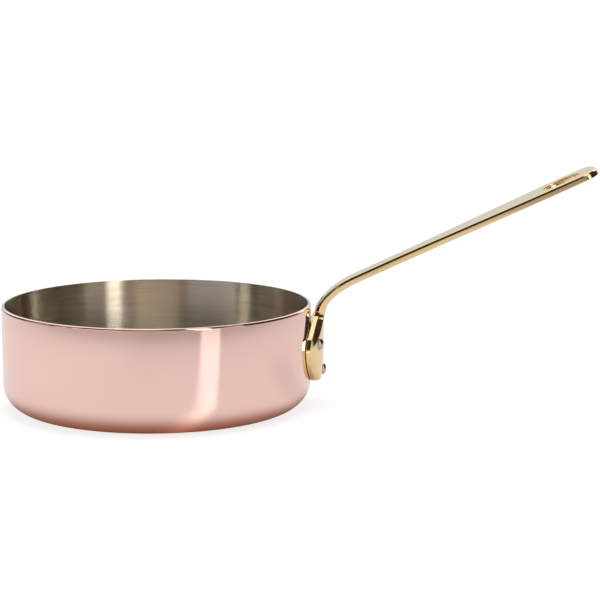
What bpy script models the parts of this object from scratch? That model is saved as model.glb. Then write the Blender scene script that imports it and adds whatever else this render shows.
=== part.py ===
# Saute pan: a copper pan lined with steel, and a cast brass handle held by three rivets.
# Lengths are in metres, +Z is up and the handle points along +X.
# The origin is the middle of the pan's underside.

import math

import bmesh
import bpy
from mathutils import Vector

# Pan
RIM_RADIUS = 0.100
PAN_HEIGHT = 0.068
BASE_CORNER = 0.0182  # outer radius where the wall turns into the base
COPPER_WALL = 0.0015
LINING_WALL = 0.0002
LIP_ROUND = 0.0011  # rounding of the outer rim edge
SEAT_GAP = 0.0003  # clearance between pieces that rest on each other

# Handle plate, which wraps the wall
PLATE_HALF = 0.0285
PLATE_BOTTOM = 0.0165
PLATE_WAIST = 0.041  # height where the plate is widest
PLATE_STAND = 0.0082  # thickness at its middle
PLATE_EDGE = 0.0033  # depth of the side band that runs round the plate and up the shoulders
PLATE_BEVEL = 0.0003  # softens the front edge of the band
PLATE_FOOT_ANGLE = math.radians(9.0)  # the outline's ellipse ends here in a short flat foot
PLATE_BELLY = 0.24  # how fast the plate thins towards its bottom, lower is blunter
SHOULDER_TOP = 0.048
SHOULDER_ROUND = 0.003  # how far the tip leans in between the waist and the top
ARRIS_CLIMB = 0.0015  # rise of the front edge round the shoulder's tip
ARRIS_INSET = 0.0025  # the front edge turns up to the neck this far from the tip
SHOULDER_FLARE = 1.2  # 1 is a straight slope from shoulder to neck, 2 an ellipse

# Neck, which leaves the wall and bends into the shaft
NECK_HEIGHT = 0.061
NECK_HALF = 0.0072
NECK_THICK = 0.0069
NECK_STANDOFF = 0.0022
NECK_LEAVES_WALL = 0.050
NECK_CHAMFER = 0.0022  # back edges of the bend, starting where the shoulders end
NECK_CHAMFER_DEPTH = 0.0024
NECK_ANGLE = math.radians(78.7)
BEND_REACH = 0.0240
BEND_RISE = 0.0227
NECK_FADE = (0.05, 0.32)  # part of the bend over which the neck's section becomes the shaft's

# Shaft
SHAFT_ANGLE = math.radians(24.5)
SHAFT_LENGTH = 0.1693
SHAFT_THICK = 0.0054  # after the bend
END_THICK = 0.0048
SHAFT_CHAMFER = 0.0013
SHAFT_CROWN = 0.0008  # rounding of the underside
SHAFT_NARROW = 0.0076  # half width after the bend
SHAFT_WIDE = 0.0161  # half width beside the slot
FLARE_START = 0.015
FLARE_FROM_END = 0.0193  # the shaft is at its widest this far from its tip
FLARE_END = SHAFT_LENGTH - FLARE_FROM_END
END_LENGTH = 0.0110
END_FULLNESS = 2.5

# Hanging slot
SLOT_FROM_END = 0.0238  # from the slot's middle to the shaft's tip
SLOT_MIDDLE = SHAFT_LENGTH - SLOT_FROM_END
SLOT_HALF_LENGTH = 0.0127
SLOT_HALF_WIDTH = 0.0088
SLOT_SKEW = 0.04  # makes the slot fuller towards the handle's end
SLOT_CHAMFER = 0.0007

# Rivets
SHANK_RADIUS = 0.0024
HEAD_RADIUS = 0.00375
HEAD_HEIGHT = 0.0028
HEAD_SEAT_DEPTH = 0.0005
INNER_HEAD_RADIUS = 0.0055
INNER_HEAD_HEIGHT = 0.0014
UPPER_RIVET_OFFSET = 0.0160
UPPER_RIVET_HEIGHT = 0.0430
LOWER_RIVET_HEIGHT = 0.0238

# Facets
TURN_STEPS = 72
CORNER_STEPS = 7
LIP_STEPS = 3
PLATE_STEPS = 11
SHOULDER_STEPS = 4
FLARE_STEPS = 7
BEND_STEPS = 8
SHAFT_STEPS = 7
END_STEPS = 7
BACK_STEPS = 4
FRONT_STEPS = 6
SLOT_STEPS = 28
RIVET_STEPS = 24
DOME_STEPS = 5

OVERRUN = 0.002  # how far a cutter reaches past what it cuts
MERGE = 1e-6
SLOPE_STEP = 1e-5  # distance over which the plate's slope is measured
WALL_TOTAL = COPPER_WALL + SEAT_GAP + LINING_WALL
PLATE_SEAT = RIM_RADIUS + SEAT_GAP


def clear_scene():
    for item in list(bpy.data.objects):
        bpy.data.objects.remove(item, do_unlink=True)


def metal(name, colour, roughness):
    material = bpy.data.materials.new(name)
    material.use_nodes = True
    shader = material.node_tree.nodes["Principled BSDF"]
    shader.inputs["Base Color"].default_value = (*colour, 1.0)
    shader.inputs["Roughness"].default_value = roughness
    shader.inputs["Metallic"].default_value = 1.0
    return material


def add_object(name, bm, material=None):
    bmesh.ops.recalc_face_normals(bm, faces=bm.faces)
    mesh = bpy.data.meshes.new(name)
    bm.to_mesh(mesh)
    bm.free()
    mesh.shade_smooth()
    mesh.set_sharp_from_angle(angle=math.radians(30.0))
    item = bpy.data.objects.new(name, mesh)
    bpy.context.scene.collection.objects.link(item)
    if material:
        mesh.materials.append(material)
    else:
        item.hide_render = True
        item.display_type = "WIRE"
    return item


def boolean(target, tool, operation):
    step = target.modifiers.new(tool.name, "BOOLEAN")
    step.operation = operation
    step.solver = "EXACT"
    step.object = tool


def ramp(value, start, end):
    part = min(max((value - start) / (end - start), 0.0), 1.0)
    return part * part * (3.0 - 2.0 * part)


def mix(start, end, part):
    return start + (end - start) * part


def arc(centre, radius, start, end, steps):
    """Points of an arc in the plane of a profile, from one angle in degrees to another."""
    points = []
    for step in range(steps + 1):
        angle = math.radians(mix(start, end, step / steps))
        across = centre[0] + radius * math.cos(angle)
        up = centre[1] + radius * math.sin(angle)
        points.append((across, up))
    return points


def revolve(profile, steps):
    """Turns a closed outline of (radius, height) points about the Z axis."""
    bm = bmesh.new()
    verts = [bm.verts.new((radius, 0.0, height)) for radius, height in profile]
    edges = [bm.edges.new(pair) for pair in zip(verts, verts[1:])]
    bmesh.ops.spin(
        bm,
        geom=verts + edges,
        cent=(0.0, 0.0, 0.0),
        axis=(0.0, 0.0, 1.0),
        angle=2.0 * math.pi,
        steps=steps,
        use_merge=True,
    )
    bmesh.ops.remove_doubles(bm, verts=bm.verts, dist=MERGE)
    return bm


def loft(rings):
    """Skins rings that share one layout, and closes both ends.

    Each ring runs from its back middle round the near side to its front middle and home
    again along the far side. An end has one face up to the two sides and one beyond."""
    bm = bmesh.new()
    grid = [[bm.verts.new(point) for point in ring] for ring in rings]
    count = len(rings[0])
    for lower, upper in zip(grid, grid[1:]):
        for index in range(count):
            following = (index + 1) % count
            bm.faces.new((lower[index], lower[following], upper[following], upper[index]))
    side = BACK_STEPS + 1
    for ring in (grid[0], grid[-1]):
        bm.faces.new(ring[: side + 1] + ring[count - side :])
        bm.faces.new(ring[side : count - side + 1])
    return bm


# Pan body

def copper_profile():
    bend = (RIM_RADIUS - BASE_CORNER, BASE_CORNER)
    lip = (RIM_RADIUS - LIP_ROUND, PAN_HEIGHT - LIP_ROUND)
    points = [(0.0, 0.0)]
    points += arc(bend, BASE_CORNER, -90.0, 0.0, CORNER_STEPS)
    points += arc(lip, LIP_ROUND, 0.0, 90.0, LIP_STEPS)
    points.append((RIM_RADIUS - COPPER_WALL, PAN_HEIGHT))
    points += arc(bend, BASE_CORNER - COPPER_WALL, 0.0, -90.0, CORNER_STEPS)
    points.append((0.0, COPPER_WALL))
    return points


def lining_profile():
    bend = (RIM_RADIUS - BASE_CORNER, BASE_CORNER)
    outside = COPPER_WALL + SEAT_GAP
    points = [(0.0, outside)]
    points += arc(bend, BASE_CORNER - outside, -90.0, 0.0, CORNER_STEPS)
    points.append((RIM_RADIUS - outside, PAN_HEIGHT))
    points.append((RIM_RADIUS - WALL_TOTAL, PAN_HEIGHT))
    points += arc(bend, BASE_CORNER - WALL_TOTAL, 0.0, -90.0, CORNER_STEPS)
    points.append((0.0, WALL_TOTAL))
    return points


# Handle

def wall_x(y):
    return math.sqrt(PLATE_SEAT * PLATE_SEAT - y * y)


def plate_thickness(y):
    share = y / PLATE_HALF
    return PLATE_EDGE + (PLATE_STAND - PLATE_EDGE) * (1.0 - share * share)


def lower_plate(angle):
    """Half width and height of the plate's lower outline, an ellipse below the waist."""
    half = PLATE_HALF * math.sin(angle)
    height = PLATE_WAIST - (PLATE_WAIST - PLATE_BOTTOM) * math.cos(angle)
    return half, height


def lower_face_x(y, angle):
    half = lower_plate(angle)[0]
    squareness = mix(3.0, 12.0, math.sin(angle) ** 2)
    rounding = math.sqrt(max(1.0 - (abs(y) / half) ** squareness, 0.0))
    thickness = PLATE_EDGE + (plate_thickness(y) - PLATE_EDGE) * rounding
    return wall_x(y) + thickness * math.sin(angle) ** PLATE_BELLY


def plate_face_x(y, z):
    """How far out the plate's front face lies at a height below the shoulders."""
    if z >= PLATE_WAIST:
        return shoulder_face_x(y, z)
    angle = math.acos((PLATE_WAIST - z) / (PLATE_WAIST - PLATE_BOTTOM))
    return lower_face_x(y, angle)


def close_ring(near):
    """Adds the far side to a section's near side, which runs from back middle to front middle."""
    far = [Vector((point.x, -point.y, point.z)) for point in near[1:-1]]
    return near + list(reversed(far))


def plate_ring(back_z, back_edge, side, arris, front_z, back_x, front_x):
    """A section of the plate from its near corners, whose y is the distance from the middle.

    back_x and front_x give the places of the two long faces across the width."""
    near = []
    for step in range(BACK_STEPS):
        y = back_edge.y * step / BACK_STEPS
        near.append(Vector((back_x(y), -y, back_z)))
    for corner in (back_edge, side):
        near.append(Vector((corner.x, -corner.y, corner.z)))
    for step in range(FRONT_STEPS + 1):
        part = math.cos(math.pi / 2.0 * step / FRONT_STEPS)
        y = arris.y * part
        near.append(Vector((front_x(y), -y, mix(front_z, arris.z, part))))
    return close_ring(near)


def lower_rings():
    rings = []
    for step in range(PLATE_STEPS + 1):
        angle = mix(PLATE_FOOT_ANGLE, math.pi / 2.0, step / PLATE_STEPS)
        half, z = lower_plate(angle)
        edge = PLATE_EDGE * math.sin(angle) ** PLATE_BELLY
        arris_y = half - PLATE_BEVEL
        back_edge = Vector((wall_x(half), half, z))
        side = Vector((wall_x(half) + edge - PLATE_BEVEL, half, z))
        arris = Vector((lower_face_x(arris_y, angle), arris_y, z))

        def front_x(y, angle=angle):
            return lower_face_x(y, angle)

        rings.append(plate_ring(z, back_edge, side, arris, z, wall_x, front_x))
    return rings


def flare(part, tip, neck):
    """A concave line from the shoulder's tip to the neck, each given as (y, z)."""
    angle = part * math.pi / 2.0
    across = math.sin(angle) ** (2.0 / SHOULDER_FLARE)
    down = math.cos(angle) ** (2.0 / SHOULDER_FLARE)
    return mix(tip[0], neck[0], across), mix(neck[1], tip[1], down)


def neck_share(z):
    """0 while the handle lies on the wall, rising to 1 where the neck starts to bend."""
    part = max((z - NECK_LEAVES_WALL) / (NECK_HEIGHT - NECK_LEAVES_WALL), 0.0)
    return part * part


def shoulder_back_x(y, z):
    return wall_x(y) + NECK_STANDOFF * neck_share(z)


def shoulder_face_x(y, z):
    neck_face = PLATE_SEAT + NECK_STANDOFF + NECK_THICK * math.sin(NECK_ANGLE)
    sink = PLATE_SEAT + PLATE_STAND - neck_face
    return wall_x(y) + plate_thickness(y) - sink * neck_share(z)


def tip_lines(part):
    """Side band and arris round the shoulder's tip, as (y, z)."""
    turn = part * math.pi / 2.0
    side_y = PLATE_HALF - SHOULDER_ROUND * (1.0 - math.cos(turn))
    side_z = mix(PLATE_WAIST, SHOULDER_TOP, math.sin(turn))
    arris_y = PLATE_HALF - PLATE_BEVEL - (ARRIS_INSET - PLATE_BEVEL) * part
    return (side_y, side_z), (arris_y, PLATE_WAIST + ARRIS_CLIMB * part)


def flare_lines(part):
    """Side band and arris from the shoulder's tip up to the neck, as (y, z)."""
    neck = (NECK_HALF, NECK_HEIGHT)
    side = flare(part, (PLATE_HALF - SHOULDER_ROUND, SHOULDER_TOP), neck)
    arris = flare(part, (PLATE_HALF - ARRIS_INSET, PLATE_WAIST + ARRIS_CLIMB), neck)
    return side, arris


def shoulder_rings():
    stations = [(tip_lines, step / SHOULDER_STEPS) for step in range(1, SHOULDER_STEPS + 1)]
    stations += [(flare_lines, step / (FLARE_STEPS + 1)) for step in range(1, FLARE_STEPS + 1)]
    rings = []
    for index, (lines, part) in enumerate(stations):
        progress = (index + 1) / (len(stations) + 1)
        (side_y, side_z), (arris_y, arris_z) = lines(part)
        front_z = mix(PLATE_WAIST, NECK_HEIGHT, progress * progress)

        def back_x(y, z=side_z):
            return shoulder_back_x(y, z)

        def front_x(y, z=0.5 * (arris_z + front_z)):
            return shoulder_face_x(y, z)

        back_edge = Vector((back_x(side_y), side_y, side_z))
        side = back_edge + Vector((PLATE_EDGE, 0.0, 0.0))
        arris = Vector((front_x(arris_y), arris_y, arris_z))
        rings.append(plate_ring(side_z, back_edge, side, arris, front_z, back_x, front_x))
    return rings


def shaft_ring(middle, direction, half, thick, chamfer, depth, lean=0.0):
    """A section square to the shaft. lean turns its outline's normal towards the end."""
    along = Vector((math.cos(direction), 0.0, math.sin(direction)))
    up = Vector((-math.sin(direction), 0.0, math.cos(direction)))
    across = Vector((0.0, -1.0, 0.0))
    inset = chamfer * math.cos(lean)
    setback = -chamfer * math.sin(lean)
    top = thick / 2.0
    near = []
    for step in range(BACK_STEPS + 1):
        y = (half - inset) * step / BACK_STEPS
        near.append(middle + along * setback + up * top + across * y)
    near.append(middle + up * (top - depth) + across * half)
    for step in range(FRONT_STEPS + 1):
        part = math.cos(math.pi / 2.0 * step / FRONT_STEPS)
        crown = SHAFT_CROWN * part * part
        near.append(middle + up * (crown - top) + across * (half * part))
    return close_ring(near)


def neck_start():
    x = PLATE_SEAT + NECK_STANDOFF + NECK_THICK / 2.0 * math.sin(NECK_ANGLE)
    return Vector((x, 0.0, NECK_HEIGHT))


def shaft_start():
    return neck_start() + Vector((BEND_REACH, 0.0, BEND_RISE))


def bend_rings():
    """Sections along a curve that starts up the neck and ends in the shaft's slope."""
    start = neck_start()
    end = shaft_start()
    rise_neck = math.tan(NECK_ANGLE)
    rise_shaft = math.tan(SHAFT_ANGLE)
    corner_x = (end.z - start.z + start.x * rise_neck - end.x * rise_shaft) / (rise_neck - rise_shaft)
    corner = Vector((corner_x, 0.0, start.z + (corner_x - start.x) * rise_neck))
    rings = []
    for step in range(BEND_STEPS):
        part = step / BEND_STEPS
        middle = start.lerp(corner, part).lerp(corner.lerp(end, part), part)
        heading = (corner - start).lerp(end - corner, part)
        direction = math.atan2(heading.z, heading.x)
        half = mix(NECK_HALF, SHAFT_NARROW, part)
        grow = ramp(part, 0.0, NECK_FADE[0])
        fade = ramp(part, NECK_FADE[0], NECK_FADE[1])
        thick = mix(NECK_THICK, SHAFT_THICK, fade)
        chamfer = mix(0.0, mix(NECK_CHAMFER, SHAFT_CHAMFER, fade), grow)
        depth = mix(PLATE_EDGE, mix(NECK_CHAMFER_DEPTH, SHAFT_CHAMFER, fade), grow)
        rings.append(shaft_ring(middle, direction, half, thick, chamfer, depth))
    return rings


def shaft_half(along):
    return mix(SHAFT_NARROW, SHAFT_WIDE, ramp(along, FLARE_START, FLARE_END))


def shaft_thick(along):
    return mix(SHAFT_THICK, END_THICK, along / SHAFT_LENGTH)


def shaft_point(along):
    direction = Vector((math.cos(SHAFT_ANGLE), 0.0, math.sin(SHAFT_ANGLE)))
    return shaft_start() + direction * along


def straight_ring(along, half, lean=0.0):
    middle = shaft_point(along)
    thick = shaft_thick(along)
    return shaft_ring(middle, SHAFT_ANGLE, half, thick, SHAFT_CHAMFER, SHAFT_CHAMFER, lean)


def shaft_rings():
    rings = []
    end_start = SHAFT_LENGTH - END_LENGTH
    for step in range(SHAFT_STEPS):
        along = end_start * step / SHAFT_STEPS
        rings.append(straight_ring(along, shaft_half(along)))
    for step in range(END_STEPS):
        turn = math.pi / 2.0 * step / (END_STEPS - 0.5)
        out = math.sin(turn) ** (2.0 / END_FULLNESS)
        side = math.cos(turn) ** (2.0 / END_FULLNESS)
        along = end_start + END_LENGTH * out
        half = shaft_half(end_start) * side
        rings.append(straight_ring(along, half, turn))
    return rings


def slot_cutter():
    """An egg-shaped plug that widens at both faces, so the slot's edges come out chamfered."""
    along = Vector((math.cos(SHAFT_ANGLE), 0.0, math.sin(SHAFT_ANGLE)))
    up = Vector((-math.sin(SHAFT_ANGLE), 0.0, math.cos(SHAFT_ANGLE)))
    middle = shaft_point(SLOT_MIDDLE)
    face = shaft_thick(SLOT_MIDDLE) / 2.0
    levels = [
        (-face - OVERRUN, SLOT_CHAMFER + OVERRUN),
        (-face + SLOT_CHAMFER, 0.0),
        (face - SLOT_CHAMFER, 0.0),
        (face + OVERRUN, SLOT_CHAMFER + OVERRUN),
    ]
    bm = bmesh.new()
    rings = []
    for level, growth in levels:
        ring = []
        for step in range(SLOT_STEPS):
            turn = 2.0 * math.pi * step / SLOT_STEPS
            reach = (SLOT_HALF_LENGTH + growth) * math.cos(turn)
            width = (SLOT_HALF_WIDTH + growth) * math.sin(turn) * (1.0 + SLOT_SKEW * math.cos(turn))
            point = middle + up * level + along * reach + Vector((0.0, width, 0.0))
            ring.append(bm.verts.new(point))
        rings.append(ring)
    for lower, upper in zip(rings, rings[1:]):
        for index in range(SLOT_STEPS):
            following = (index + 1) % SLOT_STEPS
            bm.faces.new((lower[index], lower[following], upper[following], upper[index]))
    bm.faces.new(rings[0])
    bm.faces.new(rings[-1])
    return add_object("slot_cutter", bm)


# Rivets

def rivet_seat(offset, height):
    """The outer head's seat on the plate, its outward direction and the shank's direction."""
    x = plate_face_x(offset, height)
    rise_y = plate_face_x(offset + SLOPE_STEP, height) - plate_face_x(offset - SLOPE_STEP, height)
    rise_z = plate_face_x(offset, height + SLOPE_STEP) - plate_face_x(offset, height - SLOPE_STEP)
    span = 2.0 * SLOPE_STEP
    outward = Vector((1.0, -rise_y / span, -rise_z / span)).normalized()
    seat = Vector((x, offset, height))
    radial = Vector((x, offset, 0.0)).normalized()
    return seat, outward, radial


def place(item, origin, direction):
    item.rotation_mode = "QUATERNION"
    item.rotation_quaternion = direction.to_track_quat("Z", "Y")
    item.location = origin


def dome_profile(radius, height):
    """A low dome over a flat base, as one quarter of an ellipse with a short upright edge."""
    upright = 0.2 * height
    points = [(0.0, 0.0), (radius, 0.0)]
    for step in range(DOME_STEPS + 1):
        turn = math.pi / 2.0 * step / DOME_STEPS
        points.append((radius * math.cos(turn), upright + (height - upright) * math.sin(turn)))
    points[-1] = (0.0, height)
    return points


def shank_profile(inner_face, outer_end):
    """Inner head and shank, with the height measured out from the pan's axis."""
    points = [(0.0, inner_face - INNER_HEAD_HEIGHT)]
    for step in range(1, DOME_STEPS + 1):
        turn = math.pi / 2.0 * step / DOME_STEPS
        points.append((INNER_HEAD_RADIUS * math.sin(turn), inner_face - INNER_HEAD_HEIGHT * math.cos(turn)))
    points.append((SHANK_RADIUS, inner_face))
    points.append((SHANK_RADIUS, outer_end))
    points.append((0.0, outer_end))
    return points


def cylinder_profile(radius, start, end):
    return [(0.0, start), (radius, start), (radius, end), (0.0, end)]


def add_rivet(name, offset, height, material, shell, lining, handle):
    seat, outward, radial = rivet_seat(offset, height)
    axis_origin = Vector((0.0, 0.0, height))
    reach = math.hypot(seat.x, seat.y)

    bore = add_object(name + "_bore", revolve(cylinder_profile(
        SHANK_RADIUS + SEAT_GAP, RIM_RADIUS / 2.0, reach + OVERRUN), RIVET_STEPS))
    place(bore, axis_origin, radial)
    for target in (lining, shell, handle):
        boolean(target, bore, "DIFFERENCE")

    spot = add_object(name + "_spot_face", revolve(cylinder_profile(
        HEAD_RADIUS + SEAT_GAP, -HEAD_SEAT_DEPTH, HEAD_HEIGHT + OVERRUN), RIVET_STEPS))
    place(spot, seat, outward)
    boolean(handle, spot, "DIFFERENCE")

    bow = INNER_HEAD_RADIUS * INNER_HEAD_RADIUS / (2.0 * RIM_RADIUS)
    inner_face = RIM_RADIUS - WALL_TOTAL - bow - SEAT_GAP
    rivet = add_object(name, revolve(shank_profile(inner_face, reach), RIVET_STEPS), material)
    place(rivet, axis_origin, radial)

    head = add_object(name + "_head", revolve(dome_profile(HEAD_RADIUS, HEAD_HEIGHT), RIVET_STEPS))
    place(head, seat - outward * (HEAD_SEAT_DEPTH - SEAT_GAP), outward)
    boolean(rivet, head, "UNION")


def build():
    clear_scene()
    copper = metal("polished_copper", (0.80, 0.50, 0.40), 0.12)
    steel = metal("brushed_steel", (0.56, 0.54, 0.50), 0.30)
    brass = metal("polished_brass", (0.83, 0.66, 0.36), 0.14)
    rivet_steel = metal("rivet_steel", (0.52, 0.51, 0.50), 0.22)

    shell = add_object("copper_shell", revolve(copper_profile(), TURN_STEPS), copper)
    lining = add_object("steel_lining", revolve(lining_profile(), TURN_STEPS), steel)
    rings = lower_rings() + shoulder_rings() + bend_rings() + shaft_rings()
    handle = add_object("handle", loft(rings), brass)
    boolean(handle, slot_cutter(), "DIFFERENCE")

    rivets = {
        "rivet_upper_near": (-UPPER_RIVET_OFFSET, UPPER_RIVET_HEIGHT),
        "rivet_upper_far": (UPPER_RIVET_OFFSET, UPPER_RIVET_HEIGHT),
        "rivet_lower": (0.0, LOWER_RIVET_HEIGHT),
    }
    for name, (offset, height) in rivets.items():
        add_rivet(name, offset, height, rivet_steel, shell, lining, handle)


build()
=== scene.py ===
# Looks of the saute pan: finely rounded pieces, brushed and polished metals, studio and camera.
# Lengths are in metres, +Z is up and the handle points along +X.

import math

import bmesh
import bpy
from mathutils import Matrix, Vector


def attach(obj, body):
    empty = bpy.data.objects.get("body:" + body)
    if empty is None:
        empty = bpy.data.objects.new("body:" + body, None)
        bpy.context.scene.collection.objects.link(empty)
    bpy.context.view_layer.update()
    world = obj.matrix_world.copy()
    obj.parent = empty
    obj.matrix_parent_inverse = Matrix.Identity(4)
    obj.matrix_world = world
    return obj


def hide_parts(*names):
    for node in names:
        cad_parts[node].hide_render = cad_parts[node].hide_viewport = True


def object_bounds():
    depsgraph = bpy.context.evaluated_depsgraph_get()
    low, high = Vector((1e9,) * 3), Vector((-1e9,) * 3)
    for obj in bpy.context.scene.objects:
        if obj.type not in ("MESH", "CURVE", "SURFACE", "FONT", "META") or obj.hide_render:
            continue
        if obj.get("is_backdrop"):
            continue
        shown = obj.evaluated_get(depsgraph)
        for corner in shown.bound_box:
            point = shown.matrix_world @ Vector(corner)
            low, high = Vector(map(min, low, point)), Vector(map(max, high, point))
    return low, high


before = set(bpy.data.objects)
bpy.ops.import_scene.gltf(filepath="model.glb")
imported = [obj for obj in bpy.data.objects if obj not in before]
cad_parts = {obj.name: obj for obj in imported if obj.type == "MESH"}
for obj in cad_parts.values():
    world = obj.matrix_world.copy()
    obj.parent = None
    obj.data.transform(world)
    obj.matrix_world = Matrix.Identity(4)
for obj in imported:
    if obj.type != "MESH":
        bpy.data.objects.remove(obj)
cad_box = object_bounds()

# Pan
RIM_RADIUS = 0.100
PAN_HEIGHT = 0.068
BASE_CORNER = 0.0182
COPPER_WALL = 0.0015
LINING_WALL = 0.0005
LIP_ROUND = 0.0014
INNER_LIP_ROUND = 0.0003
BOND_GAP = 0.00002  # keeps the two bonded layers from sharing a surface

# Handle plate, which wraps the wall
PLATE_SEAT = 0.1003
PLATE_HALF = 0.0285
PLATE_BOTTOM = 0.0165
PLATE_WAIST = 0.041
PLATE_STAND = 0.0082
PLATE_EDGE = 0.0033  # depth of the side band that runs round the plate and up the shoulders
PLATE_BEVEL = 0.0003  # softens the front edge of the band
PLATE_FOOT_ANGLE = math.radians(9.0)
PLATE_BELLY = 0.24  # how fast the plate thins towards its bottom, lower is blunter
PLATE_SQUARENESS = (3.0, 12.0)  # of the front face across the plate, at its foot and at its waist
SHOULDER_TOP = 0.048
SHOULDER_ROUND = 0.003  # how far the tip leans in between the waist and the top
TIP_SLOPE = 0.5  # share of the tip's lean that is an even slope
ARRIS_CLIMB = 0.0015  # rise of the front edge round the shoulder's tip
ARRIS_INSET = 0.0025  # the front edge turns up to the neck this far from the tip
SHOULDER_FLARE = 1.2  # 1 is a straight line up to the neck, higher is hollower

# Neck
NECK_HEIGHT = 0.061
NECK_HALF = 0.0072
NECK_THICK = 0.0069
NECK_STANDOFF = 0.0022
NECK_LEAVES_WALL = 0.050
NECK_CHAMFER = 0.0022
NECK_CHAMFER_DEPTH = 0.0024
NECK_ANGLE = math.radians(78.7)
NECK_FADE = (0.05, 0.32)  # shares of the bend where its chamfer is full, and where it is the shaft's
NECK_JOINT = 0.90  # how far the shoulders' slope is carried on towards the bend
BEND_REACH = 0.0240
BEND_RISE = 0.0227

# Shaft
SHAFT_ANGLE = math.radians(24.5)
SHAFT_LENGTH = 0.1693
SHAFT_THICK = 0.0054
END_THICK = 0.0048
SHAFT_CHAMFER = 0.0013
SHAFT_CROWN = 0.0008
SHAFT_NARROW = 0.0076
SHAFT_WIDE = 0.0161
FLARE_START = 0.015
FLARE_FROM_END = 0.0193
FLARE_END = SHAFT_LENGTH - FLARE_FROM_END
END_LENGTH = 0.0110
END_FULLNESS = 2.5  # 2 is an ellipse, higher is squarer
END_TURN = math.radians(83.0)  # the rounded end stops there, at a small flat

# Hanging slot
SLOT_FROM_END = 0.0238
SLOT_MIDDLE = SHAFT_LENGTH - SLOT_FROM_END
SLOT_HALF_LENGTH = 0.0127
SLOT_HALF_WIDTH = 0.0088
SLOT_SKEW = 0.04  # makes the slot fuller towards the handle's end
SLOT_CHAMFER = 0.0007

# Rivets
SHANK_RADIUS = 0.0024
HEAD_RADIUS = 0.00375
HEAD_HEIGHT = 0.0028
HEAD_UPRIGHT = 0.2  # share of the head's height that stands upright
HEAD_SEAT_DEPTH = 0.0005
HEAD_GAP = 0.00012  # the fine dark line round a head
INNER_HEAD_RADIUS = 0.0055
INNER_HEAD_HEIGHT = 0.0014
INNER_HEAD_SINK = INNER_HEAD_RADIUS ** 2 / (2.0 * RIM_RADIUS)  # how far the wall curves under it
UPPER_RIVET_OFFSET = 0.0160
UPPER_RIVET_HEIGHT = 0.0430
LOWER_RIVET_HEIGHT = 0.0238
RIVETS = {
    "rivet_upper_near": (-UPPER_RIVET_OFFSET, UPPER_RIVET_HEIGHT),
    "rivet_upper_far": (UPPER_RIVET_OFFSET, UPPER_RIVET_HEIGHT),
    "rivet_lower": (0.0, LOWER_RIVET_HEIGHT),
}

# Facets
TURN_STEPS = 288
CORNER_STEPS = 20
LIP_STEPS = 8
PLATE_STEPS = 40
SHOULDER_STEPS = 14
TIP_START = 0.015  # a first short step, which keeps the crease under the tip crisp
FLARE_STEPS = 30
FLARE_LAST = 27  # the steps after it are left out, and the shoulders run straight up to the bend
BEND_STEPS = 30
SHAFT_STEPS = 24
END_STEPS = 22
BACK_STEPS = 5
FRONT_STEPS = 14
EDGE_STEPS = 3
EDGE_ROUND = 0.00035  # how far a softened arris reaches to either side
EDGE_ROUND_SHARE = 0.4  # the most of a narrow face that it takes
FACE_SHARE = 0.8  # a face's slope at its edge is taken from this share of the way out
SLOT_STEPS = 72
RIVET_STEPS = 64
DOME_STEPS = 12

OVERRUN = 0.002  # how far a cutter stands out of what it cuts
MERGE = 1e-6
SLOPE_STEP = 1e-5  # distance over which a face's slope is measured
SHARP_ANGLE = math.radians(40.0)

# Metal finishes. Noise scales are per metre, and along brush lines per radian.
FINE_LINES = (2.2, 900.0)  # noise scales along and across the brush lines
BROAD_LINES = (1.4, 90.0)
FINE_SHARE = 0.55  # the broad lines make up the rest
LINE_SHARE = 0.7  # of a brushed metal's tone; clouds make up the rest
SMEAR_TURN = 0.25  # of a full turn, so that reflections smear across the lines
BRUSHED_CLOUD = 14.0
CAST_CLOUD = 45.0
CAST_WAVES = 60.0
SCRATCH_SHARE = 0.4  # of a cast metal's tone; clouds make up the rest
SCRATCH_DEPTH = 0.02  # the scratches' part in the bump, where the waves' part is 1
TONE_REACH = (0.35, 0.65)  # noise at which a metal has its dark tone, and its light one
FINISH_REACH = (0.3, 0.7)  # noise at which it is smoothest, and roughest
FLOOR_FINISH_REACH = (0.004, 0.016)  # heights between which the floor's finish becomes the wall's

# Camera, from the fit to the photograph
IMAGE_SIZE = 600
FOCAL_PIXELS = 2119.36
SENSOR_WIDTH = 36.0
CLIP_START = 0.01
CAMERA_DIP = math.radians(9.3423)
CAMERA_DISTANCE = 1.37507
CAMERA_SHIFT = Vector((-0.092942, -0.0015577))
CAMERA_LEVEL = 0.067957
CAMERA_TURN = math.radians(-1.0)

# Floor
WHITE = (1.0, 1.0, 1.0)
FLOOR_RADIUS = 14.0
FLOOR_STEPS = 96
FLOOR_DROP = 0.0001  # keeps the floor and the pan's base from sharing a surface
FLOOR_COLOUR = (0.80, 0.80, 0.80)
FLOOR_GRAIN = 300.0
FLOOR_GRAIN_SHADE = 0.99
FLOOR_COLOUR_MIRRORED = (0.50, 0.50, 0.50)
FLOOR_COLOUR_SEEN = (0.30, 0.30, 0.30)  # what is left of the shading for the camera, so the shadow stays
GLOW_MIRRORED = (0.35, 0.12)  # added for mirrored rays, near the pan and far from it
GLOW_MIRRORED_REACH = (0.54, 0.78)
GLOW_LEFT = 0.07  # added on the left of the pan
GLOW_LEFT_REACH = (-0.30, -0.02)  # along X, from where it is full to where it ends
FOOT_PAINTED_BOUNCE = (0.45, 0.12, 0.0)  # painted bounce light: copper's own colour painted into the floor at its foot, which the copper mirrors
FOOT_PAINTED_BOUNCE_REACH = (0.080, 0.114)
GLOW_SEEN = (0.80, 1.0)  # added for the camera, so the floor reads as white
GLOW_SEEN_REACH = (0.5, 3.0)
WEDGE_GLOW = 0.50  # brighter wedge of floor that makes the streak on the copper
# Each edge of the wedge: a point on it, its normal's angle from +X in degrees, its softness
WEDGE_LEFT = ((0.083, -0.180), 35.5, 0.016)
WEDGE_RIGHT = ((0.1127, -0.160), 50.0, 0.008)

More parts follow.
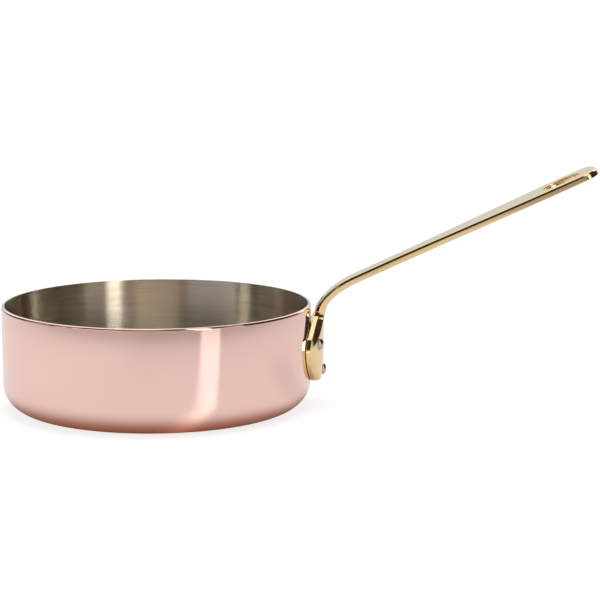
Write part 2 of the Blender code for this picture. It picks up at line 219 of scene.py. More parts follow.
# Studio. Azimuth 0 is towards the camera and grows towards +X; angles are in degrees.
OVERHEAD_PLACE = (0.05, 0.0, 1.25)
OVERHEAD_SIZE = (0.9, 0.9)
OVERHEAD_LEVEL = 4.5
CARD_X = 0.65
CARD_SIDES = (-0.30, 0.35)
CARD_HEIGHTS = (0.08, 0.7)
FELT_GRAIN = 400.0
FELT_COLOURS = ((0.02, 0.02, 0.02), (0.04, 0.04, 0.04))
FELT_ROUGHNESS = 0.9
ROOM_COLOUR = (0.375, 0.375, 0.375)  # the light that matt surfaces get from all round
FRONT_COLOUR = (0.04, 0.04, 0.04)  # dark room in front of the pan, which the metals mirror
BACK_COLOUR = (0.70, 0.75, 0.80)  # backdrop low behind the pan
SKY_COLOUR = (1.25, 1.25, 1.25)  # large white panel overhead, reaching down behind the pan
SKY_RISE = (0.16, 0.36)  # sine of the elevations between which the backdrop becomes the panel
SKY_EDGES = [
    # inward normal of a plane that bounds the panel, and the softness of that edge
    ((0.0, 1.0, 0.42), 0.05),
    ((1.0, 0.6, 0.40), 0.06),
]
SKY_RIGHT_EDGES = [  # on the right, the panel reaches as far as either of these allows
    ((-1.0, 0.6, 0.035), 0.03),
    ((-1.0, 0.0, 0.055), 0.02),
]
LIGHT_SOFTNESS = (0.5, 3.0)  # of the mirrored lights' sides, and of their ends
STUDIO_LIGHTS = [
    # from, to, lean per degree of elevation, bottom, top, level, colour
    (31.6, 42.8, 0.0, 5.0, 60.0, 4.9, (1.0, 0.97, 0.90)),
    (28.0, 67.0, 0.0, 3.0, 14.0, 1.4, (1.0, 0.86, 0.77)),
    (-22.0, 28.0, 0.0, 3.0, 14.0, 1.1, (1.0, 0.76, 0.54)),
    (-62.0, -22.0, 0.0, 3.0, 14.0, 1.6, (1.0, 0.95, 0.98)),
    (-76.0, -66.0, 0.0, 3.0, 14.0, 1.2, (1.0, 0.96, 0.90)),
    (67.0, 73.0, 0.0, 5.0, 50.0, 1.5, (1.0, 0.90, 0.72)),
    (116.0, 122.0, -0.65, 5.0, 45.0, 1.2, (1.0, 0.92, 0.72)),
    (-75.0, -70.0, 0.0, 25.0, 50.0, 1.6, (1.0, 0.96, 0.86)),
    (-112.0, -84.0, 0.0, 5.0, 60.0, 0.3, (1.0, 0.98, 1.0)),
]


# Small helpers

def ramp(value, start, end):
    part = min(max((value - start) / (end - start), 0.0), 1.0)
    return part * part * (3.0 - 2.0 * part)


def mix(start, end, part):
    return start + (end - start) * part


def arc(centre, radius, start, end, steps):
    """Points of an arc in the plane of a profile, from one angle in degrees to another."""
    points = []
    for step in range(steps + 1):
        angle = math.radians(mix(start, end, step / steps))
        across = centre[0] + radius * math.cos(angle)
        up = centre[1] + radius * math.sin(angle)
        points.append((across, up))
    return points


def add_object(name, bm, material=None):
    bmesh.ops.recalc_face_normals(bm, faces=bm.faces)
    mesh = bpy.data.meshes.new(name)
    bm.to_mesh(mesh)
    bm.free()
    mesh.shade_smooth()
    mesh.set_sharp_from_angle(angle=SHARP_ANGLE)
    item = bpy.data.objects.new(name, mesh)
    bpy.context.scene.collection.objects.link(item)
    if material:
        mesh.materials.append(material)
    return item


def bake_modifiers(item):
    """Turns a piece with its modifiers into plain mesh."""
    depsgraph = bpy.context.evaluated_depsgraph_get()
    mesh = bpy.data.meshes.new_from_object(item.evaluated_get(depsgraph))
    item.modifiers.clear()
    item.data = mesh


def cut(target, tools):
    """Cuts the tools out of the target and removes them."""
    for tool in tools:
        step = target.modifiers.new(tool.name, "BOOLEAN")
        step.operation = "DIFFERENCE"
        step.solver = "EXACT"
        step.object = tool
    bake_modifiers(target)
    for tool in tools:
        bpy.data.objects.remove(tool, do_unlink=True)
    target.data.shade_smooth()
    target.data.set_sharp_from_angle(angle=SHARP_ANGLE)
    weights = target.modifiers.new("even_shading", "WEIGHTED_NORMAL")
    weights.keep_sharp = True
    bake_modifiers(target)


def stand_for(item, *nodes, slot):
    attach(item, "root")
    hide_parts(*nodes)


def revolve(profile, steps):
    """Turns an outline of (radius, height) points about the Z axis."""
    bm = bmesh.new()
    verts = [bm.verts.new((radius, 0.0, height)) for radius, height in profile]
    edges = [bm.edges.new(pair) for pair in zip(verts, verts[1:])]
    bmesh.ops.spin(
        bm,
        geom=verts + edges,
        cent=(0.0, 0.0, 0.0),
        axis=(0.0, 0.0, 1.0),
        angle=2.0 * math.pi,
        steps=steps,
        use_merge=True,
    )
    bmesh.ops.remove_doubles(bm, verts=bm.verts, dist=MERGE)
    return bm


def skin(bm, rings):
    """Adds rings of points that share one layout, and the faces between them."""
    grid = [[bm.verts.new(point) for point in ring] for ring in rings]
    count = len(rings[0])
    for lower, upper in zip(grid, grid[1:]):
        for index in range(count):
            following = (index + 1) % count
            bm.faces.new((lower[index], lower[following], upper[following], upper[index]))
    return grid


# Pan body

def copper_profile():
    bend = (RIM_RADIUS - BASE_CORNER, BASE_CORNER)
    lip = (RIM_RADIUS - LIP_ROUND, PAN_HEIGHT - LIP_ROUND)
    points = [(0.0, 0.0), (RIM_RADIUS / 2.0, 0.0)]
    points += arc(bend, BASE_CORNER, -90.0, 0.0, CORNER_STEPS)
    points += arc(lip, LIP_ROUND, 0.0, 90.0, LIP_STEPS)
    points.append((RIM_RADIUS - COPPER_WALL, PAN_HEIGHT))
    points += arc(bend, BASE_CORNER - COPPER_WALL, 0.0, -90.0, CORNER_STEPS)
    points.append((0.0, COPPER_WALL))
    return points


def lining_profile():
    bend = (RIM_RADIUS - BASE_CORNER, BASE_CORNER)
    outside = COPPER_WALL + BOND_GAP
    inside = outside + LINING_WALL
    lip = (RIM_RADIUS - inside + INNER_LIP_ROUND, PAN_HEIGHT - INNER_LIP_ROUND)
    points = [(0.0, outside)]
    points += arc(bend, BASE_CORNER - outside, -90.0, 0.0, CORNER_STEPS)
    points.append((RIM_RADIUS - outside, PAN_HEIGHT))
    points += arc(lip, INNER_LIP_ROUND, 90.0, 180.0, LIP_STEPS)
    points += arc(bend, BASE_CORNER - inside, 0.0, -90.0, CORNER_STEPS)
    points += [(RIM_RADIUS / 2.0, inside), (0.0, inside)]
    return points


# Sections of the handle

def rounded(before, corner, after):
    """Points that turn a sharp corner into a small curve, from one side to the other."""
    ends = []
    for neighbour in (before, after):
        edge = neighbour - corner
        ends.append(corner + edge.normalized() * min(EDGE_ROUND, EDGE_ROUND_SHARE * edge.length))
    start, end = ends
    points = []
    for step in range(EDGE_STEPS + 1):
        part = step / EDGE_STEPS
        points.append(start.lerp(corner, part).lerp(corner.lerp(end, part), part))
    return points


def section(back_point, back_edge, side, front_point, arris_y):
    """A closed section with softened corners, from its near half.

    back_point and front_point give the two long faces at a distance from the middle."""
    arris = front_point(arris_y)
    back_corner = rounded(back_point(FACE_SHARE * back_edge.y), back_edge, side)
    side_corner = rounded(back_edge, side, arris)
    arris_corner = rounded(side, arris, front_point(FACE_SHARE * arris_y))
    near = [back_point(back_corner[0].y * step / BACK_STEPS) for step in range(BACK_STEPS)]
    near += back_corner + side_corner + arris_corner
    last_y = arris_corner[-1].y
    for step in range(1, FRONT_STEPS + 1):
        near.append(front_point(last_y * math.cos(math.pi / 2.0 * step / FRONT_STEPS)))
    far = list(reversed(near[1:-1]))
    return [Vector((point.x, -point.y, point.z)) for point in near] + far


def loft(rings):
    """Skins the handle's sections and closes both ends."""
    bm = bmesh.new()
    grid = skin(bm, rings)
    count = len(rings[0])
    side = BACK_STEPS + EDGE_STEPS + 1  # where the back ends and the side begins
    for ring in (grid[0], grid[-1]):
        bm.faces.new(ring[: side + 1] + ring[count - side :])
        bm.faces.new(ring[side : count - side + 1])
    return bm


# Handle plate

def wall_x(y):
    """How far out the plate's back lies, which wraps the round wall."""
    return math.sqrt(PLATE_SEAT * PLATE_SEAT - y * y)


def plate_thickness(y):
    share = y / PLATE_HALF
    return PLATE_EDGE + (PLATE_STAND - PLATE_EDGE) * (1.0 - share * share)


def lower_plate(angle):
    """Half width and height of the plate's lower outline, an ellipse below the waist."""
    half = PLATE_HALF * math.sin(angle)
    height = PLATE_WAIST - (PLATE_WAIST - PLATE_BOTTOM) * math.cos(angle)
    return half, height


def lower_face_x(y, angle):
    half = lower_plate(angle)[0]
    squareness = mix(*PLATE_SQUARENESS, math.sin(angle) ** 2)
    rounding = math.sqrt(max(1.0 - (abs(y) / half) ** squareness, 0.0))
    thickness = PLATE_EDGE + (plate_thickness(y) - PLATE_EDGE) * rounding
    return wall_x(y) + thickness * math.sin(angle) ** PLATE_BELLY


def plate_face_x(y, z):
    """How far out the plate's front face lies at a height below the neck."""
    if z >= PLATE_WAIST:
        return shoulder_face_x(y, z)
    angle = math.acos((PLATE_WAIST - z) / (PLATE_WAIST - PLATE_BOTTOM))
    return lower_face_x(y, angle)


def plate_ring(back_z, back_edge, side, arris, front_z, back_x, front_x):
    """A section whose back is level, and whose front runs from the arris to front_z in the middle."""
    def back_point(y):
        return Vector((back_x(y), y, back_z))

    def front_point(y):
        return Vector((front_x(y), y, mix(front_z, arris.z, y / arris.y)))

    return section(back_point, back_edge, side, front_point, arris.y)


def lower_rings():
    rings = []
    for step in range(PLATE_STEPS + 1):
        angle = mix(PLATE_FOOT_ANGLE, math.pi / 2.0, step / PLATE_STEPS)
        half, z = lower_plate(angle)
        edge = PLATE_EDGE * math.sin(angle) ** PLATE_BELLY
        arris_y = half - PLATE_BEVEL
        back_edge = Vector((wall_x(half), half, z))
        side = Vector((wall_x(half) + edge - PLATE_BEVEL, half, z))
        arris = Vector((lower_face_x(arris_y, angle), arris_y, z))

        def front_x(y, angle=angle):
            return lower_face_x(y, angle)

        rings.append(plate_ring(z, back_edge, side, arris, z, wall_x, front_x))
    return rings


def flare(part, tip, neck):
    """A concave line from the shoulder's tip to the neck, each given as (y, z)."""
    angle = part * math.pi / 2.0
    across = math.sin(angle) ** (2.0 / SHOULDER_FLARE)
    down = math.cos(angle) ** (2.0 / SHOULDER_FLARE)
    return mix(tip[0], neck[0], across), mix(neck[1], tip[1], down)


def neck_share(z):
    """0 while the handle lies on the wall, rising to 1 where the neck starts to bend."""
    part = max((z - NECK_LEAVES_WALL) / (NECK_HEIGHT - NECK_LEAVES_WALL), 0.0)
    return part * part


def shoulder_back_x(y, z):
    return wall_x(y) + NECK_STANDOFF * neck_share(z)


def shoulder_face_x(y, z):
    neck_face = PLATE_SEAT + NECK_STANDOFF + NECK_THICK * math.sin(NECK_ANGLE)
    sink = PLATE_SEAT + PLATE_STAND - neck_face
    return wall_x(y) + plate_thickness(y) - sink * neck_share(z)


def tip_lines(part):
    """Side band and arris round the shoulder's tip, as (y, z)."""
    turn = part * math.pi / 2.0
    side_y = PLATE_HALF - SHOULDER_ROUND * mix(1.0 - math.cos(turn), math.sin(turn), TIP_SLOPE)
    side_z = mix(PLATE_WAIST, SHOULDER_TOP, math.sin(turn))
    arris_y = PLATE_HALF - PLATE_BEVEL - (ARRIS_INSET - PLATE_BEVEL) * part
    return (side_y, side_z), (arris_y, PLATE_WAIST + ARRIS_CLIMB * part)


def flare_lines(part):
    """Side band and arris from the shoulder's tip up to the neck, as (y, z)."""
    neck = (NECK_HALF, NECK_HEIGHT)
    side = flare(part, (PLATE_HALF - SHOULDER_ROUND, SHOULDER_TOP), neck)
    arris = flare(part, (PLATE_HALF - ARRIS_INSET, PLATE_WAIST + ARRIS_CLIMB), neck)
    return side, arris


def shoulder_rings():
    stations = [(tip_lines, TIP_START)]
    stations += [(tip_lines, step / SHOULDER_STEPS) for step in range(1, SHOULDER_STEPS + 1)]
    stations += [(flare_lines, step / (FLARE_STEPS + 1)) for step in range(1, FLARE_LAST + 1)]
    whole = SHOULDER_STEPS + FLARE_STEPS + 2  # with the first short step, and the step to the bend
    rings = []
    for index, (lines, part) in enumerate(stations):
        progress = (index + 1) / whole
        (side_y, side_z), (arris_y, arris_z) = lines(part)
        front_z = mix(PLATE_WAIST, NECK_HEIGHT, progress * progress)

        def back_x(y, z=side_z):
            return shoulder_back_x(y, z)

        def front_x(y, z=0.5 * (arris_z + front_z)):
            return shoulder_face_x(y, z)

        back_edge = Vector((back_x(side_y), side_y, side_z))
        side = back_edge + Vector((PLATE_EDGE, 0.0, 0.0))
        arris = Vector((front_x(arris_y), arris_y, arris_z))
        rings.append(plate_ring(side_z, back_edge, side, arris, front_z, back_x, front_x))
    return rings


# Neck and shaft

def shaft_ring(middle, direction, half, thick, chamfer, depth, lean=0.0):
    """A section square to the shaft. lean turns its outline's normal towards the end."""
    along = Vector((math.cos(direction), 0.0, math.sin(direction)))
    up = Vector((-math.sin(direction), 0.0, math.cos(direction)))
    across = Vector((0.0, 1.0, 0.0))
    inset = chamfer * math.cos(lean)
    setback = -chamfer * math.sin(lean)
    top = thick / 2.0

    def back_point(y):
        return middle + along * setback + up * top + across * y

    def front_point(y):
        share = y / half
        return middle + up * (SHAFT_CROWN * share * share - top) + across * y

    side = middle + up * (top - depth) + across * half
    return section(back_point, back_point(half - inset), side, front_point, half)


def joint_ring(last, first):
    """Carries the shoulders' slope on, almost up to the bend, so that their edge stays crisp."""
    return [low.lerp(high, NECK_JOINT) for low, high in zip(last, first)]


def neck_start():
    x = PLATE_SEAT + NECK_STANDOFF + NECK_THICK / 2.0 * math.sin(NECK_ANGLE)
    return Vector((x, 0.0, NECK_HEIGHT))


def shaft_start():
    return neck_start() + Vector((BEND_REACH, 0.0, BEND_RISE))


def bend_rings():
    """Sections along a curve that starts up the neck and ends in the shaft's slope."""
    start = neck_start()
    end = shaft_start()
    rise_neck = math.tan(NECK_ANGLE)
    rise_shaft = math.tan(SHAFT_ANGLE)
    corner_x = (end.z - start.z + start.x * rise_neck - end.x * rise_shaft) / (rise_neck - rise_shaft)
    corner = Vector((corner_x, 0.0, start.z + (corner_x - start.x) * rise_neck))
    rings = []
    for step in range(BEND_STEPS):
        part = step / BEND_STEPS
        middle = start.lerp(corner, part).lerp(corner.lerp(end, part), part)
        heading = (corner - start).lerp(end - corner, part)
        direction = math.atan2(heading.z, heading.x)
        half = mix(NECK_HALF, SHAFT_NARROW, part)
        grow = ramp(part, 0.0, NECK_FADE[0])
        fade = ramp(part, *NECK_FADE)
        thick = mix(NECK_THICK, SHAFT_THICK, fade)
        chamfer = mix(0.0, mix(NECK_CHAMFER, SHAFT_CHAMFER, fade), grow)
        depth = mix(PLATE_EDGE, mix(NECK_CHAMFER_DEPTH, SHAFT_CHAMFER, fade), grow)
        rings.append(shaft_ring(middle, direction, half, thick, chamfer, depth))
    return rings


def shaft_half(along):
    return mix(SHAFT_NARROW, SHAFT_WIDE, ramp(along, FLARE_START, FLARE_END))


def shaft_thick(along):
    return mix(SHAFT_THICK, END_THICK, along / SHAFT_LENGTH)


def shaft_point(along):
    direction = Vector((math.cos(SHAFT_ANGLE), 0.0, math.sin(SHAFT_ANGLE)))
    return shaft_start() + direction * along


def straight_ring(along, half, lean=0.0):
    middle = shaft_point(along)
    thick = shaft_thick(along)
    return shaft_ring(middle, SHAFT_ANGLE, half, thick, SHAFT_CHAMFER, SHAFT_CHAMFER, lean)


def shaft_rings():
    rings = []
    end_start = SHAFT_LENGTH - END_LENGTH
    for step in range(SHAFT_STEPS):
        along = end_start * step / SHAFT_STEPS
        rings.append(straight_ring(along, shaft_half(along)))
    for step in range(END_STEPS):
        turn = END_TURN * step / (END_STEPS - 1)
        out = math.sin(turn) ** (2.0 / END_FULLNESS)
        side = math.cos(turn) ** (2.0 / END_FULLNESS)
        along = end_start + END_LENGTH * out
        half = shaft_half(end_start) * side
        rings.append(straight_ring(along, half, turn))
    return rings


# Hanging slot

def slot_levels(face):
    """Heights in the shaft and how much wider the slot is there, which rounds off both its edges."""
    upper = []
    steps = EDGE_STEPS * 2
    for step in range(steps + 1):
        turn = math.pi / 2.0 * step / steps
        level = face - SLOT_CHAMFER * (1.0 - math.sin(turn))
        upper.append((level, SLOT_CHAMFER * (1.0 - math.cos(turn))))
    upper.append((face + OVERRUN, SLOT_CHAMFER))
    return [(-level, growth) for level, growth in reversed(upper)] + upper


def slot_cutter():
    """A plug of the slot's nearly elliptical form, a little fuller towards the handle's end."""
    along = Vector((math.cos(SHAFT_ANGLE), 0.0, math.sin(SHAFT_ANGLE)))
    up = Vector((-math.sin(SHAFT_ANGLE), 0.0, math.cos(SHAFT_ANGLE)))
    middle = shaft_point(SLOT_MIDDLE)
    rings = []
    for level, growth in slot_levels(shaft_thick(SLOT_MIDDLE) / 2.0):
        ring = []
        for step in range(SLOT_STEPS):
            turn = 2.0 * math.pi * step / SLOT_STEPS
            reach = (SLOT_HALF_LENGTH + growth) * math.cos(turn)
            width = (SLOT_HALF_WIDTH + growth) * math.sin(turn) * (1.0 + SLOT_SKEW * math.cos(turn))
            ring.append(middle + up * level + along * reach + Vector((0.0, width, 0.0)))
        rings.append(ring)
    bm = bmesh.new()
    grid = skin(bm, rings)
    bm.faces.new(grid[0])
    bm.faces.new(grid[-1])
    return add_object("slot_cutter", bm)


# Rivets

def rivet_seat(offset, height):
    """The outer head's seat on the plate, its outward direction and the shank's direction."""
    x = plate_face_x(offset, height)
    rise_y = plate_face_x(offset + SLOPE_STEP, height) - plate_face_x(offset - SLOPE_STEP, height)
    rise_z = plate_face_x(offset, height + SLOPE_STEP) - plate_face_x(offset, height - SLOPE_STEP)
    reach = 2.0 * SLOPE_STEP
    outward = Vector((1.0, -rise_y / reach, -rise_z / reach)).normalized()
    seat = Vector((x, offset, height))
    radial = Vector((x, offset, 0.0)).normalized()
    return seat, outward, radial


def placed(bm, origin, direction):
    """Moves a revolved form to its place, with its axis along a direction."""
    turn = direction.to_track_quat("Z", "Y").to_matrix().to_4x4()
    bmesh.ops.transform(bm, matrix=Matrix.Translation(origin) @ turn, verts=bm.verts)
    return bm


def dome_profile(radius, height):
    """A low dome over a flat base, as one quarter of an ellipse with a short upright edge."""
    upright = HEAD_UPRIGHT * height
    points = [(0.0, 0.0), (radius, 0.0)]
    for step in range(DOME_STEPS + 1):
        turn = math.pi / 2.0 * step / DOME_STEPS
        points.append((radius * math.cos(turn), upright + (height - upright) * math.sin(turn)))
    points[-1] = (0.0, height)
    return points


def shank_profile(inner_face, outer_end):
    """Inner head and shank, with the height measured out from the pan's axis."""
    points = [(0.0, inner_face - INNER_HEAD_HEIGHT)]
    for step in range(1, DOME_STEPS + 1):
        turn = math.pi / 2.0 * step / DOME_STEPS
        height = inner_face - INNER_HEAD_HEIGHT * math.cos(turn)
        points.append((INNER_HEAD_RADIUS * math.sin(turn), height))
    points += [(SHANK_RADIUS, inner_face), (SHANK_RADIUS, outer_end), (0.0, outer_end)]
    return points


def spot_face(offset, height):
    """A cutter for the shallow flat that a rivet's head sits in."""
    seat, outward, _ = rivet_seat(offset, height)
    radius = HEAD_RADIUS + HEAD_GAP
    profile = [(0.0, -HEAD_SEAT_DEPTH), (radius, -HEAD_SEAT_DEPTH)]
    profile += [(radius, HEAD_HEIGHT + OVERRUN), (0.0, HEAD_HEIGHT + OVERRUN)]
    return add_object("spot_face", placed(revolve(profile, RIVET_STEPS), seat, outward))


def rivet_piece(name, offset, height, material):
    seat, outward, radial = rivet_seat(offset, height)
    inner_face = RIM_RADIUS - COPPER_WALL - LINING_WALL - INNER_HEAD_SINK
    outer_end = math.hypot(seat.x, seat.y)
    shank = revolve(shank_profile(inner_face, outer_end), RIVET_STEPS)
    placed(shank, Vector((0.0, 0.0, height)), radial)
    head = revolve(dome_profile(HEAD_RADIUS, HEAD_HEIGHT), RIVET_STEPS)
    placed(head, seat - outward * HEAD_SEAT_DEPTH, outward)
    head_mesh = bpy.data.meshes.new(name + "_head")
    head.to_mesh(head_mesh)
    head.free()
    shank.from_mesh(head_mesh)
    bpy.data.meshes.remove(head_mesh)
    return add_object(name + "_polished", shank, material)


# Materials

class Nodes:
    """Short ways to add and link nodes in one tree."""

    def __init__(self, tree):
        self.tree = tree

    def add(self, kind, inputs=None, **settings):
        node = self.tree.nodes.new(kind)
        for key, value in settings.items():
            setattr(node, key, value)
        for key, value in (inputs or {}).items():
            self.put(node.inputs[key], value)
        return node

    def put(self, socket, value):
        if isinstance(value, bpy.types.NodeSocket):
            self.tree.links.new(value, socket)
        else:
            socket.default_value = value

    def place(self):
        return self.add("ShaderNodeTexCoord").outputs["Object"]

    def parts(self, vector):
        return self.add("ShaderNodeSeparateXYZ", {0: vector}).outputs

    def math(self, operation, first, second=0.0):
        return self.add("ShaderNodeMath", {0: first, 1: second}, operation=operation).outputs[0]

    def blend(self, first, second, share):
        """A share of the first value plus the rest of the second."""
        first_part = self.math("MULTIPLY", first, share)
        second_part = self.math("MULTIPLY", second, 1.0 - share)
        return self.math("ADD", first_part, second_part)

    def vector(self, operation, first, second=(0.0, 0.0, 0.0)):
        inputs = {0: first, 1: second}
        return self.add("ShaderNodeVectorMath", inputs, operation=operation).outputs[0]

    def scaled(self, vector, scale):
        inputs = {0: vector, "Scale": scale}
        return self.add("ShaderNodeVectorMath", inputs, operation="SCALE").outputs[0]

    def length(self, vector):
        return self.add("ShaderNodeVectorMath", {0: vector}, operation="LENGTH").outputs["Value"]

    def dot(self, first, second):
        inputs = {0: first, 1: second}
        return self.add("ShaderNodeVectorMath", inputs, operation="DOT_PRODUCT").outputs["Value"]

    def range(self, value, start, end, low, high):
        """Goes smoothly from low at the start to high at the end, and stays there beyond them."""
        inputs = {0: value, 1: start, 2: end, 3: low, 4: high}
        node = self.add("ShaderNodeMapRange", inputs, interpolation_type="SMOOTHSTEP", clamp=True)
        return node.outputs[0]

    def colour(self, part, first, second):
        """Goes from the first colour to the second, each a socket or (red, green, blue)."""
        node = self.add("ShaderNodeMix", {0: part}, data_type="RGBA")
        for socket, value in zip(node.inputs[6:8], (first, second)):
            self.put(socket, (*value, 1.0) if isinstance(value, tuple) else value)
        return node.outputs[2]

    def noise(self, vector, scale, detail=2.0, roughness=0.5):
        inputs = {"Vector": vector, "Scale": scale, "Detail": detail, "Roughness": roughness}
        return self.add("ShaderNodeTexNoise", inputs).outputs["Fac"]


def new_material(name):
    material = bpy.data.materials.new(name)
    material.use_nodes = True
    shader = material.node_tree.nodes["Principled BSDF"]
    return material, shader, Nodes(material.node_tree)


def set_metal(nodes, shader, tone, tones, roughness, height, depth):
    """Gives the shader a metal's colour between two tones, its roughness and its bump."""
    shader.inputs["Metallic"].default_value = 1.0
    tone = nodes.range(tone, *TONE_REACH, 0.0, 1.0)
    nodes.put(shader.inputs["Base Color"], nodes.colour(tone, *tones))
    nodes.put(shader.inputs["Roughness"], roughness)
    bump = nodes.add("ShaderNodeBump", {"Strength": 1.0, "Distance": depth, "Height": height})
    nodes.put(shader.inputs["Normal"], bump.outputs[0])


def round_lines(nodes, place, along_scale, across_scale):
    """A coordinate that makes noise run in fine lines round the Z axis, on wall and floor alike."""
    flat = nodes.vector("MULTIPLY", place, (1.0, 1.0, 0.0))
    outward = nodes.math("ADD", nodes.length(flat), nodes.parts(place)[2])
    across = nodes.math("MULTIPLY", outward, across_scale)
    around = nodes.scaled(nodes.vector("NORMALIZE", flat), along_scale)
    lift = nodes.add("ShaderNodeCombineXYZ", {2: across}).outputs[0]
    return nodes.vector("ADD", around, lift)


def brushed_round(name, dark, light, roughness, floor_roughness, spread, anisotropy, line_depth):
    """Metal polished or brushed round the Z axis, which smears reflections upright."""
    material, shader, nodes = new_material(name)
    place = nodes.place()
    fine = nodes.noise(round_lines(nodes, place, *FINE_LINES), 1.0, detail=3.0, roughness=0.6)
    broad = nodes.noise(round_lines(nodes, place, *BROAD_LINES), 1.0)
    lines = nodes.blend(fine, broad, FINE_SHARE)
    tone = nodes.blend(lines, nodes.noise(place, BRUSHED_CLOUD), LINE_SHARE)
    wall = nodes.range(lines, *FINISH_REACH, roughness - spread, roughness + spread)
    level = nodes.parts(place)[2]
    added = nodes.range(level, *FLOOR_FINISH_REACH, floor_roughness - roughness, 0.0)
    finish = nodes.math("ADD", wall, added)
    set_metal(nodes, shader, tone, (dark, light), finish, lines, line_depth)
    shader.inputs["Anisotropic"].default_value = anisotropy
    shader.inputs["Anisotropic Rotation"].default_value = SMEAR_TURN
    tangent = nodes.add("ShaderNodeTangent", direction_type="RADIAL", axis="Z").outputs[0]
    nodes.put(shader.inputs["Tangent"], tangent)
    return material


def cast_metal(name, dark, light, roughness, spread, stretch, wave_depth):
    """Cast metal polished by hand: long faint scratches over a slightly uneven face."""
    material, shader, nodes = new_material(name)
    place = nodes.place()
    tilt = nodes.add("ShaderNodeMapping", {"Vector": place, "Rotation": (0.0, SHAFT_ANGLE, 0.0)})
    lines = nodes.vector("MULTIPLY", tilt.outputs[0], stretch)
    scratches = nodes.noise(lines, 1.0, detail=3.0, roughness=0.6)
    tone = nodes.blend(scratches, nodes.noise(place, CAST_CLOUD), SCRATCH_SHARE)
    finish = nodes.range(scratches, *FINISH_REACH, roughness - spread, roughness + spread)
    waves = nodes.noise(place, CAST_WAVES, detail=1.0)
    height = nodes.math("ADD", waves, nodes.math("MULTIPLY", scratches, SCRATCH_DEPTH))
    set_metal(nodes, shader, tone, (dark, light), finish, height, wave_depth)
    return material


def polished_copper():
    return brushed_round(
        "polished_copper",
        dark=(0.92, 0.625, 0.55),
        light=(0.93, 0.635, 0.56),
        roughness=0.09,
        floor_roughness=0.09,
        spread=0.01,
        anisotropy=0.5,
        line_depth=0.0,
    )


def brushed_steel():
    return brushed_round(
        "brushed_steel",
        dark=(0.60, 0.55, 0.465),
        light=(0.75, 0.69, 0.59),
        roughness=0.24,
        floor_roughness=0.50,
        spread=0.03,
        anisotropy=1.0,
        line_depth=0.000002,
    )


def polished_brass():
    return cast_metal(
        "polished_brass",
        dark=(0.89, 0.65, 0.34),
        light=(0.91, 0.68, 0.37),
        roughness=0.07,
        spread=0.02,
        stretch=(60.0, 900.0, 900.0),
        wave_depth=0.00001,
    )


def rivet_steel():
    return cast_metal(
        "rivet_steel",
        dark=(0.52, 0.47, 0.40),
        light=(0.58, 0.53, 0.46),
        roughness=0.20,
        spread=0.04,
        stretch=(900.0, 900.0, 900.0),
        wave_depth=0.00001,
    )


# Pieces

def build_body():
    shell = add_object("copper_body", revolve(copper_profile(), TURN_STEPS), polished_copper())
    stand_for(shell, "copper_shell", slot="copper")
    lining = add_object("steel_inside", revolve(lining_profile(), TURN_STEPS), brushed_steel())
    stand_for(lining, "steel_lining", slot="lining")


def build_handle():
    plate = lower_rings() + shoulder_rings()
    shaft = bend_rings() + shaft_rings()
    rings = plate + [joint_ring(plate[-1], shaft[0])] + shaft
    handle = add_object("brass_handle", loft(rings), polished_brass())
    cut(handle, [slot_cutter()] + [spot_face(*spot) for spot in RIVETS.values()])
    stand_for(handle, "handle", slot="brass")


def build_rivets():
    steel = rivet_steel()
    for name, (offset, height) in RIVETS.items():
        stand_for(rivet_piece(name, offset, height, steel), name, slot="rivet")


# Studio

def seen_ray(nodes):
    """1 for rays that show the studio: the camera's, and those mirrored or let through."""
    path = nodes.add("ShaderNodeLightPath")
    shown = nodes.math("MAXIMUM", path.outputs["Is Camera Ray"], path.outputs["Is Glossy Ray"])
    return nodes.math("MAXIMUM", shown, path.outputs["Is Transmission Ray"]), path


def floor_wedge(nodes, flat):
    """1 between the wedge's two edges, and 0 elsewhere."""
    def beyond(point, angle, soft):
        side = Vector((math.cos(math.radians(angle)), math.sin(math.radians(angle)), 0.0))
        start = side.x * point[0] + side.y * point[1]
        return nodes.range(nodes.dot(flat, side), start - soft, start + soft, 0.0, 1.0)

    between = nodes.math("SUBTRACT", beyond(*WEDGE_LEFT), beyond(*WEDGE_RIGHT))
    return nodes.math("MAXIMUM", between, 0.0)


